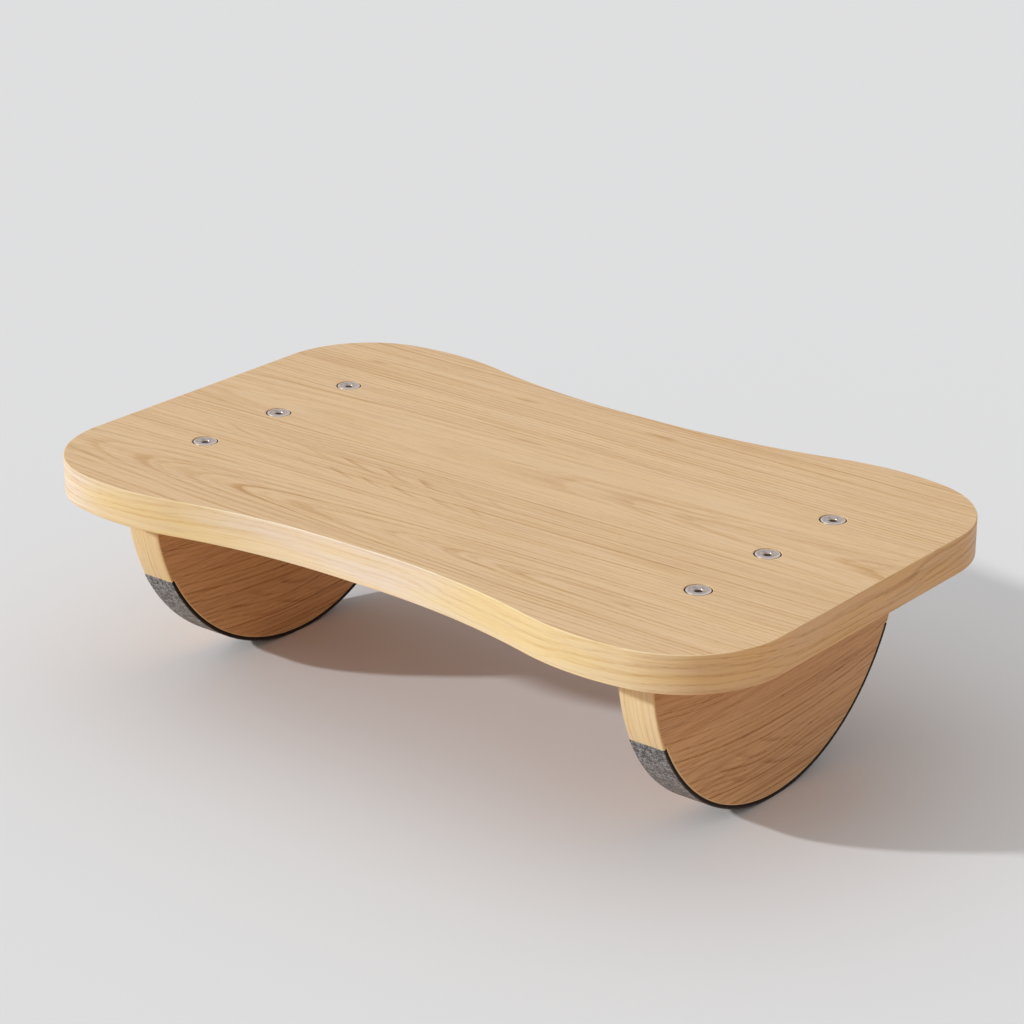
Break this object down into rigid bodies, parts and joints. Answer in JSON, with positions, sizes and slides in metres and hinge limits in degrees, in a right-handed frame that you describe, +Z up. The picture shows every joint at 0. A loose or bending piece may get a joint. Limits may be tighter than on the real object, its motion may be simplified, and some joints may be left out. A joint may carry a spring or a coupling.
{
  "type": "rocking footstool",
  "caption": "Low footstool: a waisted wooden board bolted onto half-disc rockers with felt treads, so that it tips to and fro under the feet.",
  "frame": {"origin": "on the floor, under the middle of the board, at the lowest line of the felt treads with the board level", "axes": "+X along the board's length towards the right end, +Y across it towards the back, +Z up; the rockers roll about axes parallel to X"},
  "size_m": [0.45, 0.275, 0.1284],
  "materials": {
    "board_wood": "clear matt oil on pale straight-grained ash or oak",
    "rocker_wood": "clear matt oil on the same timber as the board",
    "tread_felt": "mottled grey pressed felt",
    "tread_backing": "matt black cushioning layer",
    "bolt_steel": "satin",
    "insert_zinc": "bare die-cast zinc alloy, hidden in the assembled object"
  },
  "bodies": {
    "root": {"board": "board_wood", "rocker_left": "rocker_wood", "tread_backing_left": "tread_backing", "tread_felt_left": "tread_felt", "bolt_left_front": "bolt_steel", "insert_left_front": "insert_zinc", "bolt_left_middle": "bolt_steel", "insert_left_middle": "insert_zinc", "bolt_left_back": "bolt_steel", "insert_left_back": "insert_zinc", "rocker_right": "rocker_wood", "tread_backing_right": "tread_backing", "tread_felt_right": "tread_felt", "bolt_right_front": "bolt_steel", "insert_right_front": "insert_zinc", "bolt_right_middle": "bolt_steel", "insert_right_middle": "insert_zinc", "bolt_right_back": "bolt_steel", "insert_right_back": "insert_zinc"}
  },
  "joints": []
}
